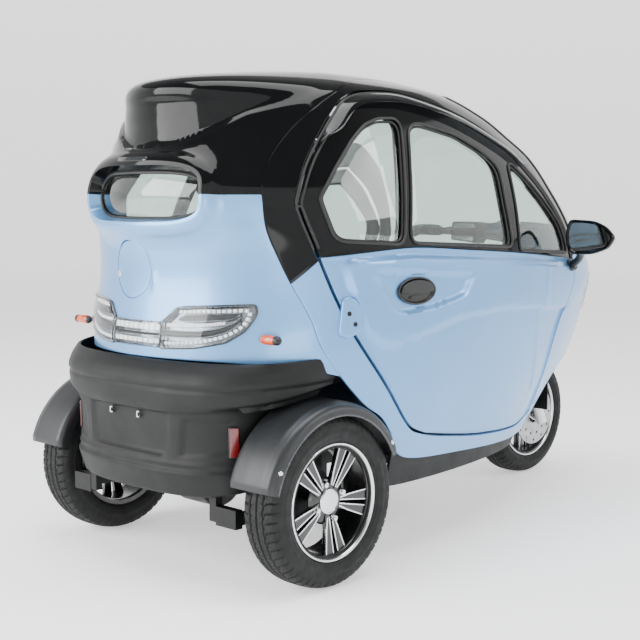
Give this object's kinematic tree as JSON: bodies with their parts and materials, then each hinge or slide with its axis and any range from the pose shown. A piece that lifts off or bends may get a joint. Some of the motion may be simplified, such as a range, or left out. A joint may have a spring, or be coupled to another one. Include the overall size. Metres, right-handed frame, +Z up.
{
  "type": "covered electric tricycle",
  "caption": "Closed two-seat electric tricycle: rounded cab with hinged doors, one steered front wheel, driven rear wheels.",
  "frame": {"origin": "on the ground at the middle of the footprint, half way along the overall length and on the plane of symmetry", "axes": "+X forward along the vehicle, +Y to its left, +Z up"},
  "size_m": [2.22, 1.426, 1.4899],
  "materials": {
    "frame_steel": "satin black powder coat",
    "cast_case": "sand cast",
    "battery_case": "moulded",
    "cab_floor": "grained",
    "grained_plastic": "fine grained moulding",
    "guard_plastic": "satin moulding",
    "pearl_blue": "pearl lacquer",
    "piano_black": "high gloss lacquer",
    "clear_glass": "clear, faint green",
    "tail_lens": "clear lens over lamps",
    "head_lens": "clear lens",
    "amber_lens": "amber lens",
    "red_reflector": "prismatic red",
    "seat_leatherette": "red and black stitched",
    "trim_black": "satin black",
    "tyre_rubber": "moulded rubber",
    "rim_alloy": "black lacquer, turned faces",
    "front_rim_alloy": "turned alloy",
    "disc_steel": "ground steel",
    "fork_metal": "satin black"
  },
  "bodies": {
    "vehicle": {"chassis_frame": "frame_steel", "rear_axle": "frame_steel", "drive_motor": "cast_case", "battery_pack": "battery_case", "rear_springs": "frame_steel", "floor_pan": "cab_floor", "sills": "grained_plastic", "side_lower_left": "pearl_blue", "side_lower_right": "pearl_blue", "side_upper_left": "piano_black", "side_upper_right": "piano_black", "roof_shell": "piano_black", "rear_shell": "pearl_blue", "rear_window": "clear_glass", "rear_lamps": "tail_lens", "turn_signals": "amber_lens", "rear_bumper": "grained_plastic", "reflectors": "red_reflector", "mudguard_rear_left": "guard_plastic", "mudguard_rear_right": "guard_plastic", "front_cowl": "pearl_blue", "windshield": "clear_glass", "headlamps": "head_lens", "wheel_arch_liner": "grained_plastic", "dashboard": "trim_black", "seat_stand": "trim_black", "front_seat_cushion": "seat_leatherette", "front_seat_back": "seat_leatherette", "rear_seat_cushion": "seat_leatherette", "rear_seat_back": "seat_leatherette", "door_hinges": "frame_steel"},
    "door_left": {"door_panel_left": "pearl_blue", "door_frame_left": "piano_black", "door_glass_left": "clear_glass", "door_handle_left": "trim_black", "mirror_left": "piano_black"},
    "door_right": {"door_panel_right": "pearl_blue", "door_frame_right": "piano_black", "door_glass_right": "clear_glass", "door_handle_right": "trim_black", "mirror_right": "piano_black"},
    "charge_cover": {"charge_lid": "pearl_blue"},
    "steering": {"front_fork": "fork_metal", "handlebar": "trim_black", "mudguard_front": "piano_black"},
    "front_wheel": {"front_tyre": "tyre_rubber", "front_rim": "front_rim_alloy", "brake_disc": "disc_steel"},
    "rear_wheel_left": {"rear_tyre_left": "tyre_rubber", "rear_rim_left": "rim_alloy"},
    "rear_wheel_right": {"rear_tyre_right": "tyre_rubber", "rear_rim_right": "rim_alloy"}
  },
  "joints": [
    {"name": "rear_left_roll", "type": "hinge", "parent": "vehicle", "child": "rear_wheel_left", "pos_m": [-0.776, 0.48, 0.247], "axis": [0, 1, 0], "continuous": true},
    {"name": "rear_right_roll", "type": "hinge", "parent": "vehicle", "child": "rear_wheel_right", "pos_m": [-0.776, -0.48, 0.247], "axis": [0, 1, 0], "continuous": true},
    {"name": "steer", "type": "hinge", "parent": "vehicle", "child": "steering", "pos_m": [0.874, 0, 0.236], "axis": [-0.4226, 0, 0.9063], "range_deg": [-35, 35]},
    {"name": "front_roll", "type": "hinge", "parent": "steering", "child": "front_wheel", "pos_m": [0.874, 0, 0.236], "axis": [0, 1, 0], "continuous": true},
    {"name": "door_left_swing", "type": "hinge", "parent": "vehicle", "child": "door_left", "pos_m": [0.559, 0.434, 0.6], "axis": [0, 0, -1], "range_deg": [0, 60]},
    {"name": "door_right_swing", "type": "hinge", "parent": "vehicle", "child": "door_right", "pos_m": [0.559, -0.434, 0.6], "axis": [0, 0, 1], "range_deg": [0, 60]},
    {"name": "charge_lid_swing", "type": "hinge", "parent": "vehicle", "child": "charge_cover", "pos_m": [-1.018, 0.131, 0.888], "axis": [0, 0, -1], "range_deg": [0, 100]}
  ]
}
